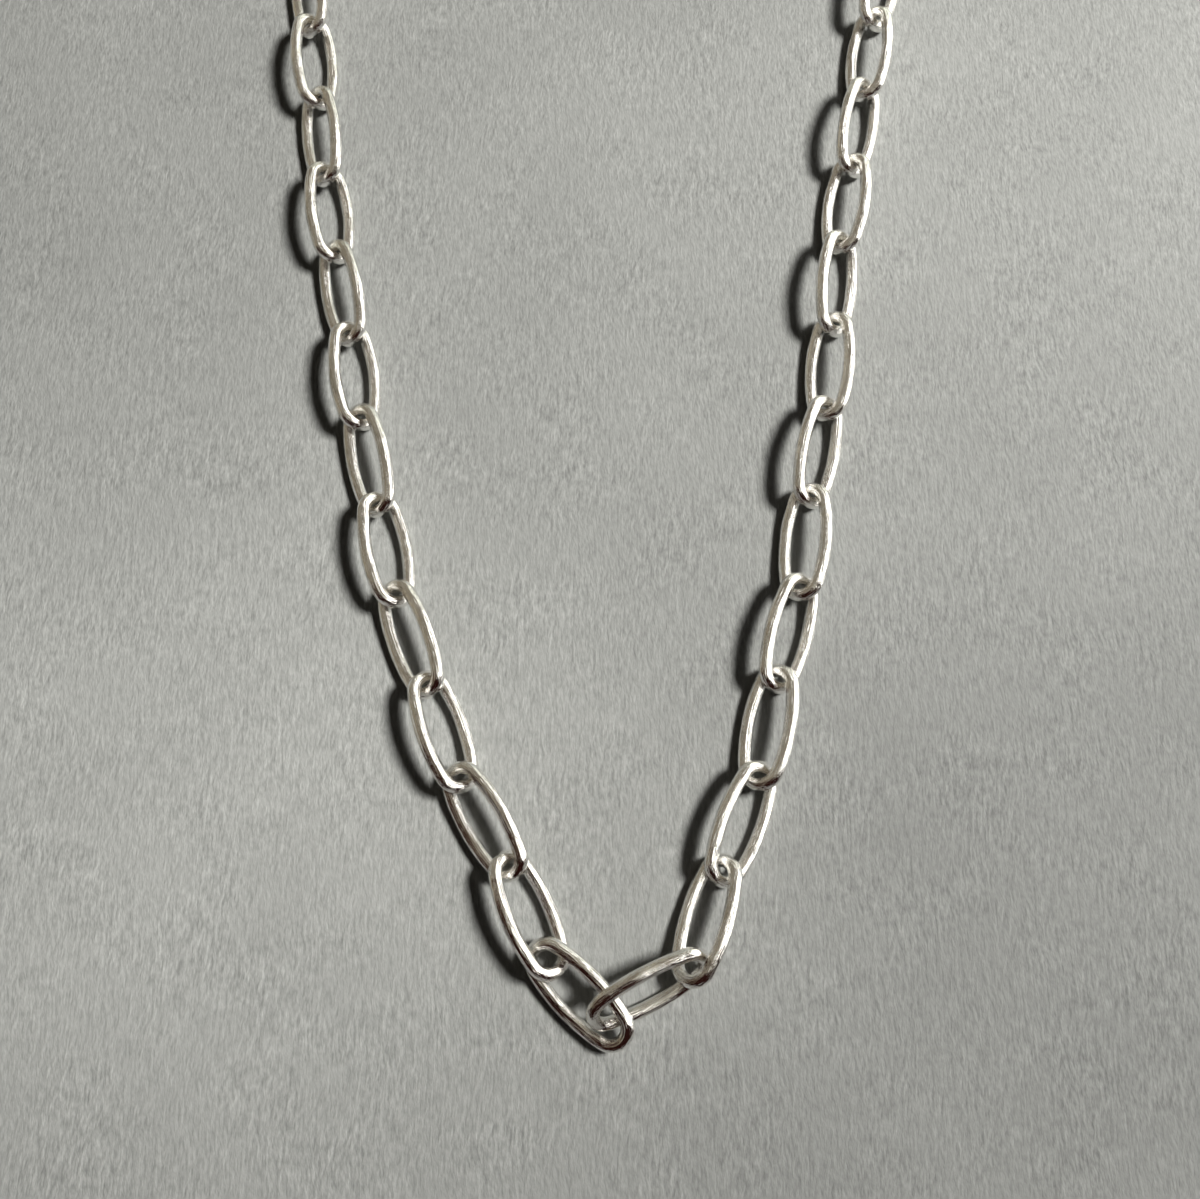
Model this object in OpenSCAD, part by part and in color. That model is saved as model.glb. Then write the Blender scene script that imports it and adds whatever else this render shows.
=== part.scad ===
// Paperclip chain necklace: one closed loop of long narrow links of round wire,
// laid flat on a surface, with a plain clasp at the far end from the bend.
// Every link is an oval of four arcs. Neighbouring links lean to opposite sides,
// so that the end of one passes through the end of the next with a small gap.

/* [Link] */
// Diameter of the round wire of a link
wire_d = 1.2; // [1:0.05:1.2]
// Length of a link over its ends
link_l = 11.6; // [11.4:0.1:11.8]
// Width of a link over its sides
link_w = 5.3; // [5.1:0.1:5.6]
// Radius of a link's end bend, at the middle of the wire
end_r = 1.6; // [1.5:0.05:1.7]

/* [Clasp] */
// Length of the clasp's ring over its ends
clasp_l = 13; // [12:0.5:15]
// Width of the clasp's ring over its sides
clasp_w = 7; // [6.5:0.5:8]
// Diameter of the clasp's wire
clasp_d = 1.6; // [1.4:0.1:1.6]
// Radius of the ring's end bend, at the middle of the wire
clasp_r = 2.2; // [2:0.1:2.4]
// Radius of the eye soldered to the ring, at the middle of its wire
eye_r = 1.8; // [1.7:0.1:2]

/* [Lay] */
// Play of each joint in the run behind the neck
run_play = 0.2; // [0.15:0.05:0.4]
// Lean of the links in the run behind the neck
run_roll = 37; // [36:1:40]
// Heading of the left run where it leaves the shown strand
left_heading = 99; // [97:1:101]
// Heading of the right run where it leaves the shown strand
right_heading = 79; // [77:1:81]

/* [Hidden] */
$fn = 64;
silver = [0.80, 0.80, 0.78];

// The three loosest links of each strand, from the bend up. Heading is the way up
// the strand, counted from +X. Lean lifts the link's left side, pitch its far end.
//              x      y     heading lean pitch
left_loose  = [[-1.5, -34.7, 136,   -24,  -2],
               [-5.8, -28.3, 115,    30,   1],
               [-9.9, -20.5, 122,   -30,  -2]];
right_loose = [[ 4.4, -34.2,  27,    48,  -3],
               [ 9.3, -28.6,  72,   -36,  -4],
               [12.5, -20.5,  68,    29,   0]];

// The links further up, each hung in the one before it.
//            heading lean play
left_rows  = [[111,   34, 0.45],
              [112,  -33, 0.15],
              [103,   34, 0.30],
              [105,  -35, 0.10],
              [ 99,   35, 0.25],
              [104,  -36, 0.10],
              [ 99,   38, 0.05],
              [100,  -37, 0.10],
              [ 97,   38, 0.05],
              [ 99,  -38, 0.05]];
right_rows = [[ 78,  -31, 0.30],
              [ 74,   31, 0.30],
              [ 83,  -34, 0.30],
              [ 77,   36, 0.10],
              [ 84,  -37, 0.15],
              [ 82,   37, 0.15],
              [ 81,  -37, 0.05],
              [ 78,   38, 0.05],
              [ 82,  -39, 0.05],
              [ 76,   38, 0.10]];

// Links of each run up to the clasp, and how many of them stay single
run_n = 12;
run_single = 7;
// How far the joined links are pulled past taut, so that their wires meet and fuse
run_join = 0.05;
// Lean of the clasp, and of the two links that hold it
clasp_roll = 28;
clasp_link_roll = 40;
// Play of the joints at the clasp
clasp_play = 0.3;
// Seams of a wire: the sleeve's length, how much wider than the wire it is, and how
// far each bend stops short of the seam inside it
seam_h = 0.3;
seam_wider = 0.06;
seam_gap = 0.03;
// How far the eye sits out from the middle of the ring's wire
eye_out = 0.4;

// ---- the oval of four arcs: [half gap of the end bends, end radius, side radius, half width]
function oval(l, w, d, r) = let(
    b = (w - d)/2, c = (l - d)/2 - r)
    [c, r, (b*b + c*c - r*r)/(2*(b - r)), b];
link_o = oval(link_l, link_w, wire_d, end_r);
ring_o = oval(clasp_l, clasp_w, clasp_d, clasp_r);
// Half the angle that an end bend turns through
function half_turn(o) = atan2(o[2] - o[3], o[0]);
// How far the oval's centreline reaches along a direction with parts p, q in its plane
function reach(o, p, q) = let(m = norm([p, q]))
    m == 0 ? 0 : atan2(abs(q), abs(p)) <= half_turn(o)
        ? o[0]*abs(p) + o[1]*m
        : o[2]*m - (o[2] - o[3])*abs(q);

// ---- poses: [x, y, heading, lean, pitch]
function dir(h) = [cos(h), sin(h)];
function unit(v) = v/norm(v);
function cross2(u, v) = u[0]*v[1] - u[1]*v[0];
// Middle-to-middle distance of the end bends of two hooked links
function joint(play) = 2*end_r - wire_d - play;
function next_pose(p, row) = let(
    u = dir(p[2]), v = dir(row[0]),
    q = [p[0], p[1]] + link_o[0]*(u + v) + joint(row[2])*unit(u + v))
    [q[0], q[1], row[0], row[1], 0];
function strand(p, rows, i = 0) = i == len(rows) ? [] :
    let(q = next_pose(p, rows[i])) concat([q], strand(q, rows, i + 1));
left_shown = concat(left_loose, strand(left_loose[2], left_rows));
right_shown = concat(right_loose, strand(right_loose[2], right_rows));

// ---- the run behind the neck: straight on, round one arc, and straight back
function run_joint(i) = joint(i <= run_single || i == run_n
    ? (i == run_n ? clasp_play : run_play) : -run_join);
function run_step(i) = 2*link_o[0] + (run_joint(i - 1) + run_joint(i))/2;
function run_at(i) = i == 0 ? 0 : run_at(i - 1) + run_step(i);
clasp_near = ring_o[0] + clasp_r + end_r - (clasp_d + wire_d)/2 - clasp_play - run_joint(run_n)/2;
eye_x = ring_o[0] + clasp_r + eye_r + eye_out;
clasp_far = eye_x + eye_r + end_r - wire_d - clasp_play - run_joint(run_n)/2;
run_len = 2*run_at(run_n) + clasp_near + clasp_far;

function tip(p, h) = [p[0], p[1]] + link_o[0]*dir(p[2]) + run_joint(0)/2*dir(h);
lp = tip(left_shown[12], left_heading);
rp = tip(right_shown[12], right_heading);
lu = dir(left_heading);
ru = dir(right_heading);
turn = (left_heading - right_heading + 180)*PI/180;
sum_u = (lu + ru)/cross2(lu, ru);
mid_n = [lu[1] + ru[1], -lu[0] - ru[0]];
run_r = (run_len - cross2(rp - lp, sum_u))/(turn - cross2(mid_n, sum_u));
left_len = cross2(rp - lp - run_r*mid_n, ru)/cross2(lu, ru);
arc_mid = lp + left_len*lu + run_r*[lu[1], -lu[0]];
// The run's line, at a distance s from the left strand's tip
function run_point(s) = s < left_len ? lp + s*lu
    : s < left_len + run_r*turn
        ? arc_mid + run_r*dir(left_heading + 90 - (s - left_len)/run_r*180/PI)
        : rp + (run_len - s)*ru;
function heading(v) = atan2(v[1], v[0]);
// Pose of link i of a run, walked from the left (from = 1) or from the right (from = -1)
function run_pose(i, from) = let(
    s0 = run_at(i - 1), s1 = run_at(i),
    p = run_point(from > 0 ? s0 : run_len - s0),
    q = run_point(from > 0 ? s1 : run_len - s1),
    u = unit(q - p), c = p + (run_joint(i - 1)/2 + link_o[0])*u,
    lean = i == run_n ? clasp_link_roll : run_roll)
    [c[0], c[1], heading(u), (i % 2 == 0 ? -from : from)*lean, 0];
left_links = concat(left_shown, [for (i = [1:run_n]) run_pose(i, 1)]);
right_links = concat(right_shown, [for (i = [1:run_n]) run_pose(i, -1)]);
clasp_pose = let(
    p = run_point(run_at(run_n)), q = run_point(run_len - run_at(run_n)),
    u = unit(q - p), c = p + clasp_near*u)
    [c[0], c[1], heading(u), clasp_roll, 0];

// ---- the box round everything, so that the origin sits under its middle
function long_axis(p) = [cos(p[2])*cos(p[4]), sin(p[2])*cos(p[4])];
function cross_axis(p) = let(t = -sin(p[4])*sin(p[3]), r = cos(p[3]))
    [cos(p[2])*t - sin(p[2])*r, sin(p[2])*t + cos(p[2])*r];
function link_far(p, k) = reach(link_o, long_axis(p)[k], cross_axis(p)[k]) + wire_d/2;
function ring_far(p, k) = reach(ring_o, long_axis(p)[k], cross_axis(p)[k]) + clasp_d/2;
all_links = concat(left_links, right_links);
function low(k) = min(concat([for (p = all_links) p[k] - link_far(p, k)],
    [clasp_pose[k] - ring_far(clasp_pose, k)]));
function high(k) = max(concat([for (p = all_links) p[k] + link_far(p, k)],
    [clasp_pose[k] + ring_far(clasp_pose, k)]));
middle = [(low(0) + high(0))/2, (low(1) + high(1))/2];

// Closed wire along an oval: two end bends and two long sides, with a thin
// soldered sleeve over each of the four seams between them
module wire_oval(o, d) {
    t = half_turn(o);
    end_cut = seam_gap/o[1]*180/PI;
    side_cut = seam_gap/o[2]*180/PI;
    for (s = [0, 180]) rotate([0, 0, s]) {
        translate([o[0], 0, 0]) rotate([0, 0, end_cut - t])
            rotate_extrude(angle = 2*t - 2*end_cut) translate([o[1], 0]) circle(d = d, $fn = 48);
        translate([0, o[3] - o[2], 0]) rotate([0, 0, t + side_cut])
            rotate_extrude(angle = 180 - 2*t - 2*side_cut, $fn = 360)
                translate([o[2], 0]) circle(d = d, $fn = 48);
        for (k = [-1, 1]) translate([o[0], 0, 0]) rotate([0, 0, k*t]) translate([o[1], 0, 0])
            rotate([90, 0, 0]) cylinder(d = d + seam_wider, h = seam_h, center = true, $fn = 48);
    }
}

// Stands a flat piece in its pose, with its lowest wire touching the surface
module lay(p, o, d) {
    translate([p[0] - middle[0], p[1] - middle[1],
               d/2 + reach(o, sin(p[4]), cos(p[4])*sin(p[3]))])
        rotate([0, 0, p[2]]) rotate([0, -p[4], 0]) rotate([p[3], 0, 0]) children();
}

module link(p) {
    color(silver) lay(p, link_o, wire_d) wire_oval(link_o, wire_d);
}
module left_link(i) { link(left_links[i - 1]); }
module right_link(i) { link(right_links[i - 1]); }

// The last links of a run, joined along their thread
module left_run() { for (i = [13 + run_single:12 + run_n]) link(left_links[i]); }
module right_run() { for (i = [13 + run_single:12 + run_n]) link(right_links[i]); }

// Closed ring with a small eye soldered to its end
module clasp() {
    color(silver) lay(clasp_pose, ring_o, clasp_d) {
        wire_oval(ring_o, clasp_d);
        translate([eye_x, 0, 0]) rotate_extrude() translate([eye_r, 0]) circle(d = wire_d, $fn = 48);
    }
}

left_link(1);  // left_link_01
left_link(2);  // left_link_02
left_link(3);  // left_link_03
left_link(4);  // left_link_04
left_link(5);  // left_link_05
left_link(6);  // left_link_06
left_link(7);  // left_link_07
left_link(8);  // left_link_08
left_link(9);  // left_link_09
left_link(10);  // left_link_10
left_link(11);  // left_link_11
left_link(12);  // left_link_12
left_link(13);  // left_link_13
left_link(14);  // left_link_14
left_link(15);  // left_link_15
left_link(16);  // left_link_16
left_link(17);  // left_link_17
left_link(18);  // left_link_18
left_link(19);  // left_link_19
left_link(20);  // left_link_20
right_link(1);  // right_link_01
right_link(2);  // right_link_02
right_link(3);  // right_link_03
right_link(4);  // right_link_04
right_link(5);  // right_link_05
right_link(6);  // right_link_06
right_link(7);  // right_link_07
right_link(8);  // right_link_08
right_link(9);  // right_link_09
right_link(10);  // right_link_10
right_link(11);  // right_link_11
right_link(12);  // right_link_12
right_link(13);  // right_link_13
right_link(14);  // right_link_14
right_link(15);  // right_link_15
right_link(16);  // right_link_16
right_link(17);  // right_link_17
right_link(18);  // right_link_18
right_link(19);  // right_link_19
right_link(20);  // right_link_20
left_run();
right_run();
clasp();
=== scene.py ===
import math

import bmesh
import bpy
import numpy as np
from mathutils import Matrix, Vector


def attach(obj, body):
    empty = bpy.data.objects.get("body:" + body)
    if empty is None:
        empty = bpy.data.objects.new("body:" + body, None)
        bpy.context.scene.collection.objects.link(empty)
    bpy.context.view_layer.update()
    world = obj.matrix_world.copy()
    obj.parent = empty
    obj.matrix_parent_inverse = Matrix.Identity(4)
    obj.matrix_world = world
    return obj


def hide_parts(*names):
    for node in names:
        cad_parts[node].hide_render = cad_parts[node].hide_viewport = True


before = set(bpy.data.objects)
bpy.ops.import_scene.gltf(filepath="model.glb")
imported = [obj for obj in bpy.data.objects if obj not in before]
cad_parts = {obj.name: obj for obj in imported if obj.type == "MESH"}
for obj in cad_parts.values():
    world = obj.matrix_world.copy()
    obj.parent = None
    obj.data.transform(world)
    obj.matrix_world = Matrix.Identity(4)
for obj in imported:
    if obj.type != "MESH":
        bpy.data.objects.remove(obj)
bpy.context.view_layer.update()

# Lengths below are millimetres and angles degrees, as in the part's source; MM turns
# them into Blender's metres.
MM = 0.001

# ------------------------------------------------------------------ sizes of the links
WIRE_D, LINK_L, LINK_W, END_R = 1.2, 11.6, 5.3, 1.6
CLASP_L, CLASP_W, CLASP_D, CLASP_R, EYE_R = 13.0, 7.0, 1.6, 2.2, 1.8
RUN_PLAY, RUN_ROLL, LEFT_HEADING, RIGHT_HEADING = 0.2, 37, 99, 79
RUN_N, RUN_SINGLE, RUN_JOIN = 12, 7, 0.05
CLASP_ROLL, CLASP_LINK_ROLL, CLASP_PLAY, EYE_OUT = 28, 40, 0.3, 0.4

# x, y, heading, lean, pitch of the three loosest links of each strand
LEFT_LOOSE = [(-1.5, -34.7, 136, -24, -2), (-5.8, -28.3, 115, 30, 1), (-9.9, -20.5, 122, -30, -2)]
RIGHT_LOOSE = [(4.4, -34.2, 27, 48, -3), (9.3, -28.6, 72, -36, -4), (12.5, -20.5, 68, 29, 0)]
# heading, lean, play of the links hung in them
LEFT_ROWS = [(111, 34, 0.45), (112, -33, 0.15), (103, 34, 0.30), (105, -35, 0.10), (99, 35, 0.25),
             (104, -36, 0.10), (99, 38, 0.05), (100, -37, 0.10), (97, 38, 0.05), (99, -38, 0.05)]
RIGHT_ROWS = [(78, -31, 0.30), (74, 31, 0.30), (83, -34, 0.30), (77, 36, 0.10), (84, -37, 0.15),
              (82, 37, 0.15), (81, -37, 0.05), (78, 38, 0.05), (82, -39, 0.05), (76, 38, 0.10)]


def oval(length, width, d, r):
    """(half gap of the end bends, end radius, side radius, half width) of a wire's centreline."""
    b, c = (width - d) / 2, (length - d) / 2 - r
    return c, r, (b * b + c * c - r * r) / (2 * (b - r)), b


LINK = oval(LINK_L, LINK_W, WIRE_D, END_R)
RING = oval(CLASP_L, CLASP_W, CLASP_D, CLASP_R)


def half_turn(o):
    return math.atan2(o[2] - o[3], o[0])


def reach(o, p, q):
    """How far an oval's centreline reaches along a direction with parts p, q in its plane."""
    m = math.hypot(p, q)
    if m == 0:
        return 0.0
    if math.atan2(abs(q), abs(p)) <= half_turn(o):
        return o[0] * abs(p) + o[1] * m
    return o[2] * m - (o[2] - o[3]) * abs(q)


def sincos(deg):
    return math.sin(math.radians(deg)), math.cos(math.radians(deg))


def way(deg):
    s, c = sincos(deg)
    return np.array([c, s])


def unit(v):
    return v / np.linalg.norm(v)


def cross2(u, v):
    return u[0] * v[1] - u[1] * v[0]


def joint(play):
    return 2 * END_R - WIRE_D - play


def strand(loose, rows):
    poses = list(loose)
    for head, lean, play in rows:
        p = poses[-1]
        u, v = way(p[2]), way(head)
        q = np.array(p[:2]) + LINK[0] * (u + v) + joint(play) * unit(u + v)
        poses.append((q[0], q[1], head, lean, 0))
    return poses


left = strand(LEFT_LOOSE, LEFT_ROWS)
right = strand(RIGHT_LOOSE, RIGHT_ROWS)


# ------------------------------------------------------- the run behind the neck
def run_joint(i):
    return joint(CLASP_PLAY if i == RUN_N else RUN_PLAY if i <= RUN_SINGLE else -RUN_JOIN)


run_at = [0.0]
for i in range(1, RUN_N + 1):
    run_at.append(run_at[-1] + 2 * LINK[0] + (run_joint(i - 1) + run_joint(i)) / 2)
clasp_near = RING[0] + CLASP_R + END_R - (CLASP_D + WIRE_D) / 2 - CLASP_PLAY - run_joint(RUN_N) / 2
eye_x = RING[0] + CLASP_R + EYE_R + EYE_OUT
clasp_far = eye_x + EYE_R + END_R - WIRE_D - CLASP_PLAY - run_joint(RUN_N) / 2
run_len = 2 * run_at[RUN_N] + clasp_near + clasp_far


def tip(p, head):
    return np.array(p[:2]) + LINK[0] * way(p[2]) + run_joint(0) / 2 * way(head)


lp, rp = tip(left[12], LEFT_HEADING), tip(right[12], RIGHT_HEADING)
lu, ru = way(LEFT_HEADING), way(RIGHT_HEADING)
turn = math.radians(LEFT_HEADING - RIGHT_HEADING + 180)
sum_u = (lu + ru) / cross2(lu, ru)
mid_n = np.array([lu[1] + ru[1], -lu[0] - ru[0]])
run_r = (run_len - cross2(rp - lp, sum_u)) / (turn - cross2(mid_n, sum_u))
left_len = cross2(rp - lp - run_r * mid_n, ru) / cross2(lu, ru)
arc_mid = lp + left_len * lu + run_r * np.array([lu[1], -lu[0]])


def run_point(s):
    if s < left_len:
        return lp + s * lu
    if s < left_len + run_r * turn:
        return arc_mid + run_r * way(LEFT_HEADING + 90 - math.degrees((s - left_len) / run_r))
    return rp + (run_len - s) * ru


def heading(v):
    return math.degrees(math.atan2(v[1], v[0]))


def run_pose(i, side):
    s0, s1 = run_at[i - 1], run_at[i]
    p, q = (run_point(s if side > 0 else run_len - s) for s in (s0, s1))
    u = unit(q - p)
    c = p + (run_joint(i - 1) / 2 + LINK[0]) * u
    lean = CLASP_LINK_ROLL if i == RUN_N else RUN_ROLL
    return c[0], c[1], heading(u), (-side if i % 2 == 0 else side) * lean, 0


left += [run_pose(i, 1) for i in range(1, RUN_N + 1)]
right += [run_pose(i, -1) for i in range(1, RUN_N + 1)]
p, q = run_point(run_at[RUN_N]), run_point(run_len - run_at[RUN_N])
c = p + clasp_near * unit(q - p)
clasp_pose = (c[0], c[1], heading(q - p), CLASP_ROLL, 0)


# --------------------------------------- the middle of the box round everything
def ends(pose, o, d):
    sh, ch = sincos(pose[2])
    sl, cl = sincos(pose[3])
    sp, cp = sincos(pose[4])
    long_axis = (ch * cp, sh * cp)
    t = -sp * sl
    cross_axis = (ch * t - sh * cl, sh * t + ch * cl)
    return [reach(o, long_axis[k], cross_axis[k]) + d / 2 for k in (0, 1)]


sides = [(pose, ends(pose, LINK, WIRE_D)) for pose in left + right] + [(clasp_pose, ends(clasp_pose, RING, CLASP_D))]
middle = [(min(p[k] - e[k] for p, e in sides) + max(p[k] + e[k] for p, e in sides)) / 2 for k in (0, 1)]


def laid(pose, o, d):
    """The matrix, in metres, that stands a flat piece in its pose with its lowest wire on the floor."""
    sl, cl = sincos(pose[3])
    sp, cp = sincos(pose[4])
    lift = d / 2 + reach(o, sp, cp * sl)
    m = Matrix.Translation(Vector(((pose[0] - middle[0]), (pose[1] - middle[1]), lift)) * MM)
    m = m @ Matrix.Rotation(math.radians(pose[2]), 4, "Z")
    m = m @ Matrix.Rotation(math.radians(-pose[4]), 4, "Y")
    return np.array(m @ Matrix.Rotation(math.radians(pose[3]), 4, "X"))


# -------------------------------------------------------------------- wire meshes
def oval_line(o, n):
    """n points spaced evenly along an oval's centreline, their outward directions, and
    the length. It starts at the middle of the near end bend (-X) and goes clockwise."""
    c, r, big, b = o
    t = half_turn(o)
    end, side = 2 * t * r, (math.pi - 2 * t) * big
    total = 2 * (end + side)
    s = (np.arange(n) / n * total + end / 2) % total
    ang = np.zeros(n)
    mid = np.zeros((n, 2))
    rad = np.zeros(n)
    arcs = [(end, math.pi - (-t), -1, (-c, 0.0), r), (side, math.pi - t, -1, (0.0, b - big), big),
            (end, t, -1, (c, 0.0), r), (side, -t, -1, (0.0, big - b), big)]
    at = 0.0
    for length, start, sign, centre, radius in arcs:
        on = (s >= at) & (s < at + length + 1e-9)
        ang[on] = start + sign * (s[on] - at) / radius
        mid[on] = centre
        rad[on] = radius
        at += length
    out = np.c_[np.cos(ang), np.sin(ang)]
    return mid + out * rad[:, None], out, total


def waves(rng, n, turns, size):
    """A smooth closed wobble over n points: a few random waves up to turns, about size high."""
    u = np.arange(n) / n * 2 * math.pi
    total = np.zeros(n)
    for k in range(1, turns + 1):
        total += rng.normal() / math.sqrt(turns) * np.sin(k * u + rng.uniform(0, 2 * math.pi))
    return size * total


def wire(o, d, n, around, rng, seams=(), even=0.0):
    """Vertices (mm, in the piece's own plane), quads and UVs of a closed wire. seams are
    (place along the wire 0..1, side in degrees, height mm, width mm) of solder spots."""
    line, out, total = oval_line(o, n)
    phi = np.arange(around) / around * 2 * math.pi
    thick = 1 + waves(rng, n, 9, even)
    flat = waves(rng, n, 5, even * 1.2)
    tilt = waves(rng, n, 3, 0.5)
    r = d / 2 * thick[:, None] * (1 + flat[:, None] * np.cos(2 * (phi[None, :] - tilt[:, None])))
    s = np.arange(n) / n
    for place, side, height, width in seams:
        ds = (s - place + 0.5) % 1 - 0.5
        dp = (phi - math.radians(side) + math.pi) % (2 * math.pi) - math.pi
        spot = np.exp(-((ds[:, None] * total) ** 2 + (dp[None, :] * d / 2) ** 2) / (2 * width ** 2))
        r = r + height * spot
    cos, sin = np.cos(phi)[None, :, None], np.sin(phi)[None, :, None]
    flat_out = np.c_[out, np.zeros(n)][:, None, :]
    up = np.array([0.0, 0.0, 1.0])[None, None, :]
    v = np.c_[line, np.zeros(n)][:, None, :] + r[:, :, None] * (cos * flat_out + sin * up)
    i, j = np.meshgrid(np.arange(n), np.arange(around), indexing="ij")
    a, b = (i + 1) % n, (j + 1) % around
    quads = np.stack([i * around + j, i * around + b, a * around + b, a * around + j], -1).reshape(-1, 4)
    us = np.stack([i, i, i + 1, i + 1], -1).reshape(-1) / n * total
    vs = np.stack([j, j + 1, j + 1, j], -1).reshape(-1) / around * math.pi * d
    drawn = np.c_[line, np.zeros(n)][:, None, :] * 0.08 + d / 2 * (cos * flat_out + sin * up)
    return v.reshape(-1, 3), quads, np.c_[us, vs], drawn.reshape(-1, 3) + rng.uniform(0, 50, 3)


def ring_line(r, d, n, around, rng, even=0.0):
    """A round eye of wire, as wire() gives it."""
    phi = np.arange(around) / around * 2 * math.pi
    th = np.arange(n) / n * 2 * math.pi
    rr = d / 2 * (1 + waves(rng, n, 4, even))[:, None]
    x = (r + rr * np.cos(phi)[None, :]) * np.cos(th)[:, None]
    y = (r + rr * np.cos(phi)[None, :]) * np.sin(th)[:, None]
    z = rr * np.sin(phi)[None, :]
    i, j = np.meshgrid(np.arange(n), np.arange(around), indexing="ij")
    a, b = (i + 1) % n, (j + 1) % around
    quads = np.stack([i * around + j, a * around + j, a * around + b, i * around + b], -1).reshape(-1, 4)
    us = np.stack([i, i + 1, i + 1, i], -1).reshape(-1) / n * 2 * math.pi * r
    vs = np.stack([j, j, j + 1, j + 1], -1).reshape(-1) / around * math.pi * d
    v = np.stack([x, y, z], -1)
    drawn = v - 0.92 * r * np.stack([np.cos(th), np.sin(th), 0 * th], -1)[:, None, :]
    return v.reshape(-1, 3), quads, np.c_[us, vs], drawn.reshape(-1, 3) + rng.uniform(0, 50, 3)


def make(name, shells, material):
    """One smooth mesh object of (matrix, (vertices, quads, uvs, grain)) shells."""
    vs, fs, uv, grain, base = [], [], [], [], 0
    for matrix, (v, f, t, g) in shells:
        vs.append(v * MM @ matrix[:3, :3].T + matrix[:3, 3])
        fs.append(f + base)
        uv.append(t)
        grain.append(g)
        base += len(v)
    vs, fs, uv, grain = np.vstack(vs), np.vstack(fs), np.vstack(uv), np.vstack(grain)
    mesh = bpy.data.meshes.new(name)
    mesh.from_pydata(vs.tolist(), [], fs.tolist())
    layer = mesh.uv_layers.new(name="wire")
    layer.data.foreach_set("uv", uv.astype(np.float32).ravel())
    drawn = mesh.attributes.new("drawn", "FLOAT_VECTOR", "POINT")
    drawn.data.foreach_set("vector", grain.astype(np.float32).ravel())
    mesh.polygons.foreach_set("use_smooth", np.ones(len(fs), bool))
    mesh.materials.append(material)
    mesh.update()
    obj = bpy.data.objects.new(name, mesh)
    bpy.context.scene.collection.objects.link(obj)
    return obj


# ---------------------------------------------------------------------- materials
def node(tree, kind, inputs=None, **settings):
    n = tree.nodes.new(kind)
    for key, value in settings.items():
        setattr(n, key, value)
    for key, value in (inputs or {}).items():
        if isinstance(value, bpy.types.NodeSocket):
            tree.links.new(value, n.inputs[key])
        else:
            n.inputs[key].default_value = value
    return n


def silver_material():
    m = bpy.data.materials.new("polished_silver")
    m.use_nodes = True
    t = m.node_tree
    shader = t.nodes["Principled BSDF"]
    shader.inputs["Metallic"].default_value = 1.0
    where = node(t, "ShaderNodeTexCoord")
    drawn = node(t, "ShaderNodeAttribute", attribute_name="drawn").outputs["Vector"]
    streak = node(t, "ShaderNodeTexNoise", {"Vector": drawn, "Scale": 5.0, "Detail": 4.0})
    cloud = node(t, "ShaderNodeTexNoise", {"Vector": where.outputs["Object"], "Scale": 700.0, "Detail": 2.0})
    tone = node(t, "ShaderNodeValToRGB", {"Fac": cloud.outputs["Fac"]})
    tone.color_ramp.elements[0].position = 0.30
    tone.color_ramp.elements[0].color = (0.83, 0.81, 0.775, 1)
    tone.color_ramp.elements[1].position = 0.70
    tone.color_ramp.elements[1].color = (0.93, 0.92, 0.90, 1)
    t.links.new(tone.outputs["Color"], shader.inputs["Base Color"])
    rough = node(t, "ShaderNodeMapRange", {"Value": streak.outputs["Fac"], "From Min": 0.35, "From Max": 0.75,
                                           "To Min": 0.012, "To Max": 0.055})
    t.links.new(rough.outputs["Result"], shader.inputs["Roughness"])
    # slow flats along the wire, then drawing lines, then a few small dents
    slow = node(t, "ShaderNodeTexNoise", {"Vector": drawn, "Scale": 1.5, "Detail": 1.0})
    dents = node(t, "ShaderNodeTexNoise", {"Vector": where.outputs["Object"], "Scale": 400.0, "Detail": 1.0})
    flats = node(t, "ShaderNodeBump", {"Height": slow.outputs["Fac"], "Strength": 1.0, "Distance": 0.00011})
    lines = node(t, "ShaderNodeBump", {"Height": streak.outputs["Fac"], "Strength": 1.0, "Distance": 0.00011,
                                       "Normal": flats.outputs["Normal"]})
    small = node(t, "ShaderNodeBump", {"Height": dents.outputs["Fac"], "Strength": 1.0, "Distance": 0.00012,
                                       "Normal": lines.outputs["Normal"]})
    t.links.new(small.outputs["Normal"], shader.inputs["Normal"])
    return m


# painted light and shade on the sheet: a lighter pool low on the left and a darker patch on the right stand in for how
# the light falls there. x, y, radius, share of its tone
PAINTED_LIGHT_AND_SHADE = [(-30, -92, 62, 1.27), (55, -70, 75, 0.96)]


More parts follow.
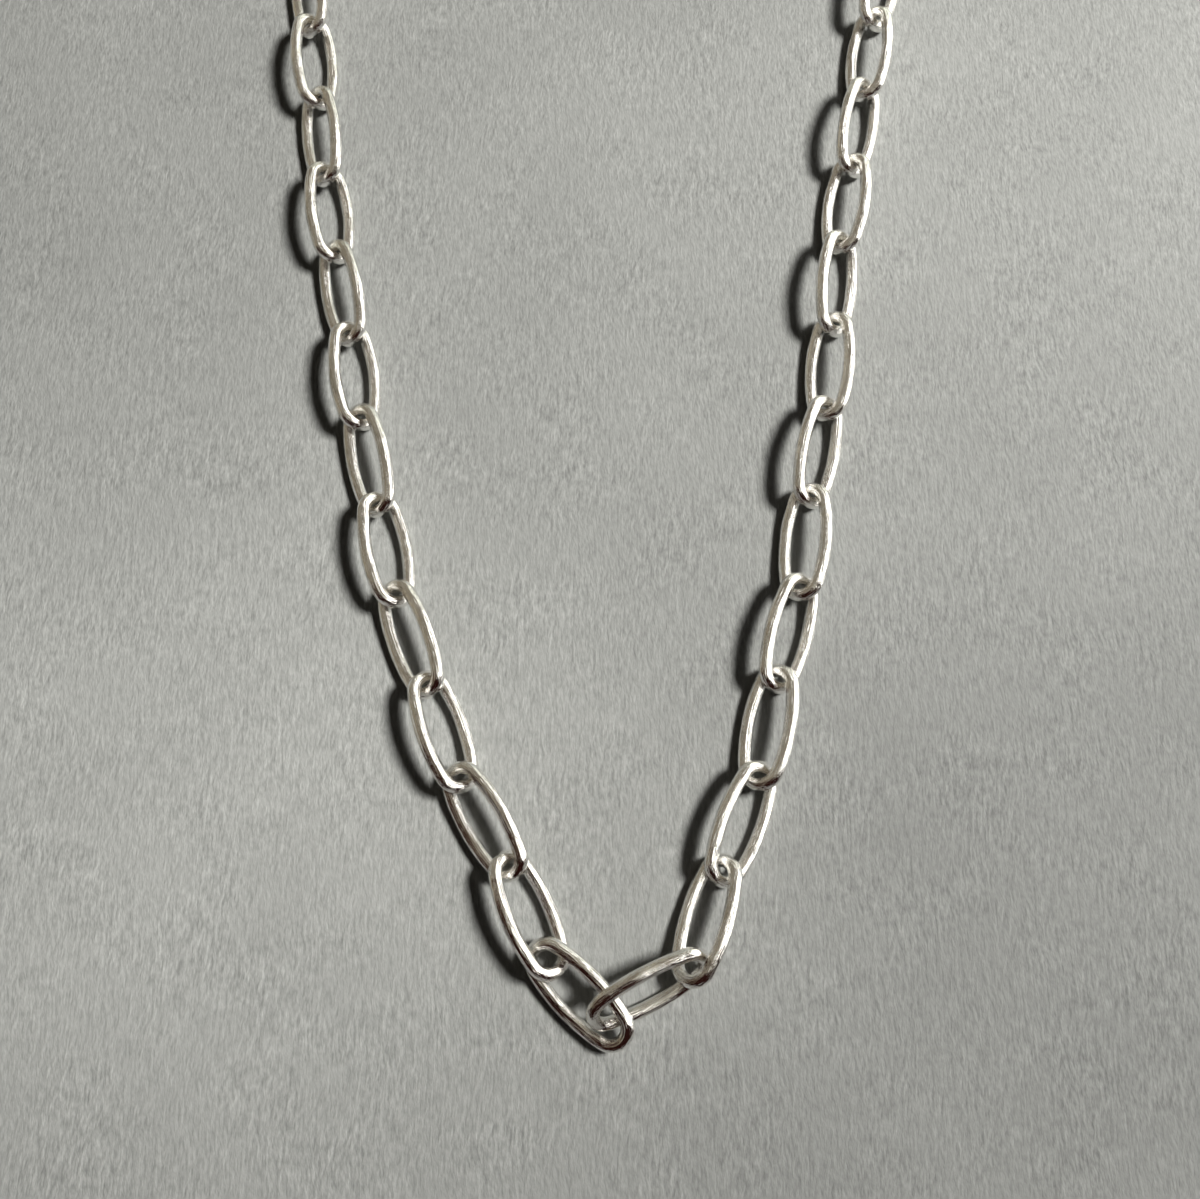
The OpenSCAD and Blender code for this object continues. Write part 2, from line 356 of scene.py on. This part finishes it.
def paper_material():
    m = bpy.data.materials.new("grey_paper")
    m.use_nodes = True
    t = m.node_tree
    shader = t.nodes["Principled BSDF"]
    shader.inputs["Roughness"].default_value = 0.42
    shader.inputs["Specular IOR Level"].default_value = 0.15
    where = node(t, "ShaderNodeTexCoord").outputs["Object"]
    # the fibres run up the sheet, in slow bends, and show more in some places
    bend = node(t, "ShaderNodeTexNoise", {"Vector": where, "Scale": 60.0, "Detail": 2.0})
    shift = node(t, "ShaderNodeVectorMath", {0: bend.outputs["Color"], 1: (0.5, 0.5, 0.5)}, operation="SUBTRACT")
    some = node(t, "ShaderNodeVectorMath", {0: shift.outputs["Vector"], "Scale": 0.0015}, operation="SCALE")
    bent = node(t, "ShaderNodeVectorMath", {0: where, 1: some.outputs["Vector"]}, operation="ADD")
    grain_at = node(t, "ShaderNodeMapping", {"Vector": bent.outputs["Vector"], "Scale": (4000.0, 1400.0, 1.0)})
    grain = node(t, "ShaderNodeTexNoise", {"Vector": grain_at.outputs["Vector"], "Scale": 1.0, "Detail": 2.0})
    fibre_at = node(t, "ShaderNodeMapping", {"Vector": bent.outputs["Vector"], "Scale": (1900.0, 500.0, 1.0)})
    fibre = node(t, "ShaderNodeTexNoise", {"Vector": fibre_at.outputs["Vector"], "Scale": 1.0, "Detail": 3.0})
    both = node(t, "ShaderNodeMath", {0: grain.outputs["Fac"], 1: fibre.outputs["Fac"]}, operation="ADD")
    patch = node(t, "ShaderNodeTexNoise", {"Vector": where, "Scale": 130.0, "Detail": 2.0})
    much = node(t, "ShaderNodeMapRange", {"Value": patch.outputs["Fac"], "From Min": 0.35, "From Max": 0.65,
                                          "To Min": 0.6, "To Max": 1.45})
    tone = node(t, "ShaderNodeMapRange", {"Value": both.outputs["Value"], "From Min": 0.6, "From Max": 1.4,
                                          "To Min": -0.088, "To Max": 0.088})
    strong = node(t, "ShaderNodeMath", {0: tone.outputs["Result"], 1: much.outputs["Result"]}, operation="MULTIPLY")
    blotch = node(t, "ShaderNodeTexNoise", {"Vector": where, "Scale": 45.0, "Detail": 4.0})
    wide = node(t, "ShaderNodeMapRange", {"Value": blotch.outputs["Fac"], "From Min": 0.3, "From Max": 0.7,
                                          "To Min": -0.022, "To Max": 0.022})
    value = node(t, "ShaderNodeMath", {0: strong.outputs["Value"], 1: wide.outputs["Result"]}, operation="ADD")
    factor = node(t, "ShaderNodeMapRange", {"Value": value.outputs["Value"], "From Min": -0.1, "From Max": 0.1})
    mix = node(t, "ShaderNodeMix", {"Factor": factor.outputs["Result"]}, data_type="RGBA")
    mix.inputs[6].default_value = (0.285, 0.289, 0.279, 1)
    mix.inputs[7].default_value = (0.465, 0.471, 0.455, 1)
    colour = mix.outputs[2]
    # each spot scales the colour up or down around it, as painted light or painted shade
    for x, y, radius, share in PAINTED_LIGHT_AND_SHADE:
        far = node(t, "ShaderNodeVectorMath", {0: where, 1: (x * MM, y * MM, 0.0)}, operation="DISTANCE")
        painted_pool = node(t, "ShaderNodeMapRange", {"Value": far.outputs["Value"], "From Min": 0.0, "From Max": radius * MM,
                                             "To Min": share, "To Max": 1.0}, interpolation_type="SMOOTHSTEP")
        with_painted_light = node(t, "ShaderNodeVectorMath", {0: colour, "Scale": painted_pool.outputs["Result"]}, operation="SCALE")
        colour = with_painted_light.outputs["Vector"]
    t.links.new(colour, shader.inputs["Base Color"])
    bump = node(t, "ShaderNodeBump", {"Height": both.outputs["Value"], "Strength": 0.6, "Distance": 0.0001})
    t.links.new(bump.outputs["Normal"], shader.inputs["Normal"])
    # far from the object the sheet glows a little, so that it stays pale up to the back
    away = node(t, "ShaderNodeVectorMath", {0: where}, operation="LENGTH")
    glow = node(t, "ShaderNodeMapRange", {"Value": away.outputs["Value"], "From Min": 0.2, "From Max": 1.5,
                                          "To Min": 0.0, "To Max": 0.36})
    shader.inputs["Emission Color"].default_value = (1.0, 1.0, 0.97, 1)
    t.links.new(glow.outputs["Result"], shader.inputs["Emission Strength"])
    return m


silver = silver_material()
paper = paper_material()

# ------------------------------------------------------------------------- the chain
# Solder spots: link, place along the wire (0 at the near end's middle, clockwise),
# side of the wire, height, width
SEAMS = {
    "left_link_01": [(0.02, 70, 0.05, 0.30), (0.09, 130, 0.04, 0.25), (0.05, 110, -0.03, 0.20)],
    "left_link_02": [(0.41, 50, 0.04, 0.25), (0.37, 70, 0.03, 0.25)],
    "left_link_06": [(0.72, 130, 0.04, 0.30), (0.785, 130, 0.03, 0.25)],
    "left_link_07": [(0.30, 110, 0.03, 0.30), (0.215, 100, 0.03, 0.30)],
    "left_link_10": [(0.285, 90, 0.04, 0.25), (0.25, 140, 0.03, 0.25)],
    "left_link_12": [(0.095, 20, 0.04, 0.30)],
    "right_link_01": [(0.425, 60, 0.06, 0.25)],
    "right_link_04": [(0.535, 10, 0.04, 0.25)],
    "right_link_05": [(0.115, 20, 0.04, 0.25)],
    "right_link_09": [(0.105, 20, 0.04, 0.25)],
}


def settle(obj, *nodes):
    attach(obj, "root")
    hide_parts(*nodes)


for side, poses, seed in (("left", left, 10), ("right", right, 50)):
    for i in range(13 + RUN_SINGLE):
        name = f"{side}_link_{i + 1:02d}"
        rng = np.random.default_rng(seed + i)
        n, around = (200, 28) if i < 13 else (140, 20)
        shell = wire(LINK, WIRE_D, n, around, rng, SEAMS.get(name, ()), 0.012)
        settle(make(name + "_silver", [(laid(poses[i], LINK, WIRE_D), shell)], silver), name)
    # the last five links of a run, as separate links a little longer than the joined ones
    free = oval(LINK_L + 0.22, LINK_W, WIRE_D, END_R)
    shells = []
    for i in range(13 + RUN_SINGLE, 13 + RUN_N):
        rng = np.random.default_rng(seed + i)
        shells.append((laid(poses[i], LINK, WIRE_D), wire(free, WIRE_D, 140, 20, rng, (), 0.004)))
    settle(make(f"{side}_run_silver", shells, silver), f"{side}_run")

ring = wire(RING, CLASP_D, 180, 28, np.random.default_rng(90), (), 0.004)
eye = ring_line(EYE_R, WIRE_D, 120, 24, np.random.default_rng(91), 0.003)
eye = (eye[0] + np.array([eye_x, 0, 0]), *eye[1:])
at = laid(clasp_pose, RING, CLASP_D)
clasp = make("clasp_silver", [(at, ring)], silver)
eye_piece = make("eye_piece", [(at, eye)], silver)
join = clasp.modifiers.new("join", "BOOLEAN")
join.operation, join.solver, join.object = "UNION", "EXACT", eye_piece
joined = bpy.data.meshes.new_from_object(clasp.evaluated_get(bpy.context.evaluated_depsgraph_get()))
clasp.modifiers.clear()
tidy = bmesh.new()
tidy.from_mesh(joined)
bmesh.ops.remove_doubles(tidy, verts=tidy.verts, dist=2e-6)
bmesh.ops.dissolve_degenerate(tidy, edges=tidy.edges, dist=1e-6)
tidy.to_mesh(joined)
tidy.free()
clasp.data = joined
bpy.data.objects.remove(eye_piece)
settle(clasp, "clasp")

# -------------------------------------------------------------------- floor and back
bpy.ops.mesh.primitive_plane_add(size=4.0)
floor = bpy.context.object
floor.name = "floor"
floor.data.materials.append(paper)

bpy.ops.mesh.primitive_cylinder_add(vertices=128, radius=1.9, depth=1.6, end_fill_type="NOTHING", location=(0, 0, 0.8))
cove = bpy.context.object
cove.name = "cove"
wall = bpy.data.materials.new("wall")
wall.use_nodes = True
wall_shader = wall.node_tree.nodes["Principled BSDF"]
wall_shader.inputs["Base Color"].default_value = (0, 0, 0, 1)
wall_shader.inputs["Specular IOR Level"].default_value = 0.0
wall_shader.inputs["Emission Color"].default_value = (0.40, 0.40, 0.385, 1)
wall_shader.inputs["Emission Strength"].default_value = 1.0
cove.data.materials.append(wall)
cove.visible_glossy = cove.visible_diffuse = cove.visible_shadow = False

# -------------------------------------------------------------------------- camera
F_PX, SPAN = 1155.0, 1200.0
DIST, TILT, ROLL, LOOK = 107.41, 15.41, 0.488, (0.1675, -63.627)
st, ct = sincos(TILT)
sr, cr = sincos(ROLL)
look = np.array([LOOK[0], LOOK[1], 0.0])
pos = look + DIST * np.array([0, -st, ct])
fwd = unit(look - pos)
right_dir = np.array([1.0, 0, 0])
up_dir = np.cross(right_dir, fwd)
x_axis = cr * right_dir + sr * up_dir
y_axis = -sr * right_dir + cr * up_dir
cam_data = bpy.data.cameras.new("camera")
cam_data.sensor_width = 36
cam_data.lens = 36 * F_PX / SPAN
cam_data.clip_start = 0.001
cam_data.clip_end = 20
cam = bpy.data.objects.new("camera", cam_data)
bpy.context.scene.collection.objects.link(cam)
cam.matrix_world = Matrix([[x_axis[k], y_axis[k], -fwd[k], pos[k] * MM] for k in range(3)] + [[0, 0, 0, 1]])
bpy.context.scene.camera = cam

# -------------------------------------------------------------------------- lights
AIM = Vector((0.0, -0.06, 0.0))


def area(name, azimuth, elevation, distance, size, watts, colour):
    s, c = sincos(azimuth)
    se, ce = sincos(elevation)
    data = bpy.data.lights.new(name, "AREA")
    data.shape = "ELLIPSE"
    data.size, data.size_y = size
    data.energy = watts
    data.color = colour
    obj = bpy.data.objects.new(name, data)
    bpy.context.scene.collection.objects.link(obj)
    obj.location = AIM + distance * Vector((c * ce, s * ce, se))
    obj.rotation_euler = (AIM - obj.location).to_track_quat("-Z", "Y").to_euler()
    return obj


key = area("key", 8, 50, 0.9, (0.28, 0.21), 11.2, (1.0, 0.99, 0.965))
fill = area("fill", 60, 72, 0.9, (1.1, 1.1), 0.03, (1.0, 0.80, 0.52))
key.visible_glossy = fill.visible_glossy = False


def card(name, centre, x_dir, y_dir, size, colour, streak=None):
    """A flat card (metres) that only the lights and reflections see, with streaks of a second colour along Y."""
    x, y = np.array(unit(x_dir)), np.array(unit(y_dir))
    c = np.array(centre)
    corners = [c + x * a * size[0] / 2 + y * b * size[1] / 2 for a, b in ((-1, -1), (1, -1), (1, 1), (-1, 1))]
    mesh = bpy.data.meshes.new(name)
    mesh.from_pydata([tuple(v) for v in corners], [], [(0, 1, 2, 3)])
    m = bpy.data.materials.new(name)
    m.use_nodes = True
    shader = m.node_tree.nodes["Principled BSDF"]
    shader.inputs["Base Color"].default_value = (0, 0, 0, 1)
    shader.inputs["Roughness"].default_value = 1.0
    shader.inputs["Specular IOR Level"].default_value = 0.0
    shader.inputs["Emission Color"].default_value = (*colour, 1)
    shader.inputs["Emission Strength"].default_value = 1.0
    if streak:
        t = m.node_tree
        where = node(t, "ShaderNodeTexCoord").outputs["Object"]
        along = node(t, "ShaderNodeMapping", {"Vector": where, "Scale": (40.0, 5.0, 1.0)})
        noise = node(t, "ShaderNodeTexNoise", {"Vector": along.outputs["Vector"], "Scale": 1.0, "Detail": 2.0})
        share = node(t, "ShaderNodeMapRange", {"Value": noise.outputs["Fac"], "From Min": 0.42, "From Max": 0.58},
                     interpolation_type="SMOOTHSTEP")
        mix = node(t, "ShaderNodeMix", {"Factor": share.outputs["Result"]}, data_type="RGBA")
        mix.inputs[6].default_value = (*colour, 1)
        mix.inputs[7].default_value = (*streak, 1)
        t.links.new(mix.outputs[2], shader.inputs["Emission Color"])
    mesh.materials.append(m)
    obj = bpy.data.objects.new(name, mesh)
    bpy.context.scene.collection.objects.link(obj)
    obj.visible_camera = False
    obj.visible_diffuse = False
    return obj


# What hangs over the chain, as cards at the height of the lens: streaky plates with a dark edge, light
# and dark ones round the lens, a dark one below it and a light strip. Name, x and y from and to (mm from
# the lens), height over it, one or two colours.
OVERHEAD = [
    ("plate_near", -160, 60, 5, 60, 4.5, (0.12, 0.095, 0.075), (0.38, 0.355, 0.295)),
    ("plate", -160, 74, 60, 122, 4.5, (0.12, 0.095, 0.075), (0.38, 0.355, 0.295)),
    ("plate_far", -160, 46, 122, 330, 4.5, (0.12, 0.095, 0.075), (0.38, 0.355, 0.295)),
    ("edge", 50, 76, 60, 122, 3.9, (0.085, 0.07, 0.058), None),
    ("edge_near", 44, 62, -12, 60, 3.9, (0.085, 0.07, 0.058), None),
    ("lens_side", -18, 38, -48, 12, 4.0, (0.55, 0.54, 0.47), None),
    ("low_left", -200, -12, -60, 5, 4.2, (0.09, 0.06, 0.045), None),
    ("low_right", 38, 200, -300, -48, 4.3, (0.030, 0.010, 0.008), None),
]
for name, x0, x1, y0, y1, up, colour, streak in OVERHEAD:
    centre = (pos + np.array([(x0 + x1) / 2, (y0 + y1) / 2, up])) * MM
    over = card(name, centre, (1.0, 0, 0), (0, 1.0, 0), ((x1 - x0) * MM, (y1 - y0) * MM), colour, streak)
    over.visible_shadow = False
low = card("low", pos * MM - fwd * 0.003 + x_axis * -0.027 + y_axis * -0.080,
           x_axis * 0.875 + y_axis * 0.485, y_axis * 0.875 - x_axis * 0.485, (0.11, 0.11), (0.030, 0.010, 0.008))
low.visible_shadow = False
strip = card("strip", (pos + np.array([-9.0, 61.0, 3.8])) * MM, (0.99, 0.12, 0), (-0.12, 0.99, 0),
             (0.014, 0.110), (0.50, 0.49, 0.43))
strip.visible_shadow = False
# a narrow flag that takes some of the key light off the near right corner of the paper
flag = card("flag", (0.298, -0.0752, 0.3064), np.array([0.88, 0.47, 0.0]), np.array([-0.47, 0.88, 0.0]),
            (0.5, 0.032), (0, 0, 0))
flag.visible_glossy = False
sill = card("sill", (0.58, 0.06, 0.05), (-0.2, 0.98, 0.0), (0, 0, 1), (0.9, 0.05), (0.40, 0.37, 0.32))
sill.visible_shadow = False

# Room round the object, as soft patches: azimuth, elevation, inner and outer angle from
# its middle, colour. Each patch covers the ones before it. It shows in the silver only,
# and the two lights above do the lighting.
ROOM = [
    (0, 90, 38, 52, (0.33, 0.305, 0.255)),
    (150, 25, 44, 60, (0.28, 0.25, 0.19)),
    (225, 22, 22, 32, (0.035, 0.014, 0.010)),
    (72, 36, 30, 48, (0.60, 0.61, 0.51)),
    (275, 8, 44, 54, (0.030, 0.010, 0.008)),
]
# The windows, as bands along Y: angle from the top towards +X from, to and soft edge, share of the
# direction that points along +Y from, to and soft edge, colour.
PANES = [
    (14, 100, 6, 0.50, 0.95, 0.05, (1.10, 1.12, 1.00)),
    (12, 56, 5, -0.10, 0.80, 0.04, (1.60, 1.60, 1.50)),
    (14, 100, 4, -0.27, 0.66, 0.05, (2.30, 2.28, 2.22)),
]
world = bpy.data.worlds.new("room")
bpy.context.scene.world = world
world.use_nodes = True
wt = world.node_tree
background = wt.nodes["Background"]
towards = node(wt, "ShaderNodeTexCoord").outputs["Generated"]


def patches(colour, rows):
    for az, el, inner, outer, rgb in rows:
        s, c = sincos(az)
        se, ce = sincos(el)
        dot = node(wt, "ShaderNodeVectorMath", {0: towards, 1: (c * ce, s * ce, se)}, operation="DOT_PRODUCT")
        spot = node(wt, "ShaderNodeMapRange",
                    {"Value": dot.outputs["Value"], "From Min": math.cos(math.radians(outer)),
                     "From Max": math.cos(math.radians(inner))}, interpolation_type="SMOOTHSTEP")
        mix = node(wt, "ShaderNodeMix", {"Factor": spot.outputs["Result"]}, data_type="RGBA")
        if colour is None:
            mix.inputs[6].default_value = (0.055, 0.040, 0.031, 1)
        else:
            wt.links.new(colour, mix.inputs[6])
        mix.inputs[7].default_value = (*rgb, 1)
        colour = mix.outputs[2]
    return colour


def within(value, low, high, soft):
    """1 where value is from low to high, falling to 0 over soft outside them."""
    rise = node(wt, "ShaderNodeMapRange", {"Value": value, "From Min": low - soft, "From Max": low},
                interpolation_type="SMOOTHSTEP")
    fall = node(wt, "ShaderNodeMapRange", {"Value": value, "From Min": high + soft, "From Max": high},
                interpolation_type="SMOOTHSTEP")
    return node(wt, "ShaderNodeMath", {0: rise.outputs["Result"], 1: fall.outputs["Result"]},
                operation="MULTIPLY").outputs["Value"]


def panes(colour, rows):
    parts = node(wt, "ShaderNodeSeparateXYZ", {"Vector": towards}).outputs
    turn = node(wt, "ShaderNodeMath", {0: parts["X"], 1: parts["Z"]}, operation="ARCTAN2").outputs["Value"]
    for a0, a1, a_soft, y0, y1, y_soft, rgb in rows:
        across = within(turn, math.radians(a0), math.radians(a1), math.radians(a_soft))
        both = node(wt, "ShaderNodeMath", {0: across, 1: within(parts["Y"], y0, y1, y_soft)}, operation="MULTIPLY")
        mix = node(wt, "ShaderNodeMix", {"Factor": both.outputs["Value"]}, data_type="RGBA")
        wt.links.new(colour, mix.inputs[6])
        mix.inputs[7].default_value = (*rgb, 1)
        colour = mix.outputs[2]
    return colour


# the room's things, as lighter and darker parts of each patch
things = node(wt, "ShaderNodeTexNoise", {"Vector": towards, "Scale": 6.0, "Detail": 2.0, "Roughness": 0.6})
amount = node(wt, "ShaderNodeMapRange", {"Value": things.outputs["Fac"], "From Min": 0.40, "From Max": 0.60,
                                         "To Min": 0.30, "To Max": 1.35}, interpolation_type="SMOOTHSTEP")
varied = node(wt, "ShaderNodeVectorMath", {0: patches(None, ROOM), "Scale": amount.outputs["Result"]},
              operation="SCALE")
colour = panes(varied.outputs["Vector"], PANES)
wt.links.new(colour, background.inputs["Color"])
background.inputs["Strength"].default_value = 1.0
world.cycles_visibility.diffuse = False

scene = bpy.context.scene
scene.view_settings.view_transform = "Standard"
scene.view_settings.look = "None"
scene.view_settings.gamma = 0.85
scene.view_settings.exposure = 0.20
scene.cycles.use_denoising = True
scene.cycles.max_bounces = 10
scene.cycles.glossy_bounces = 8
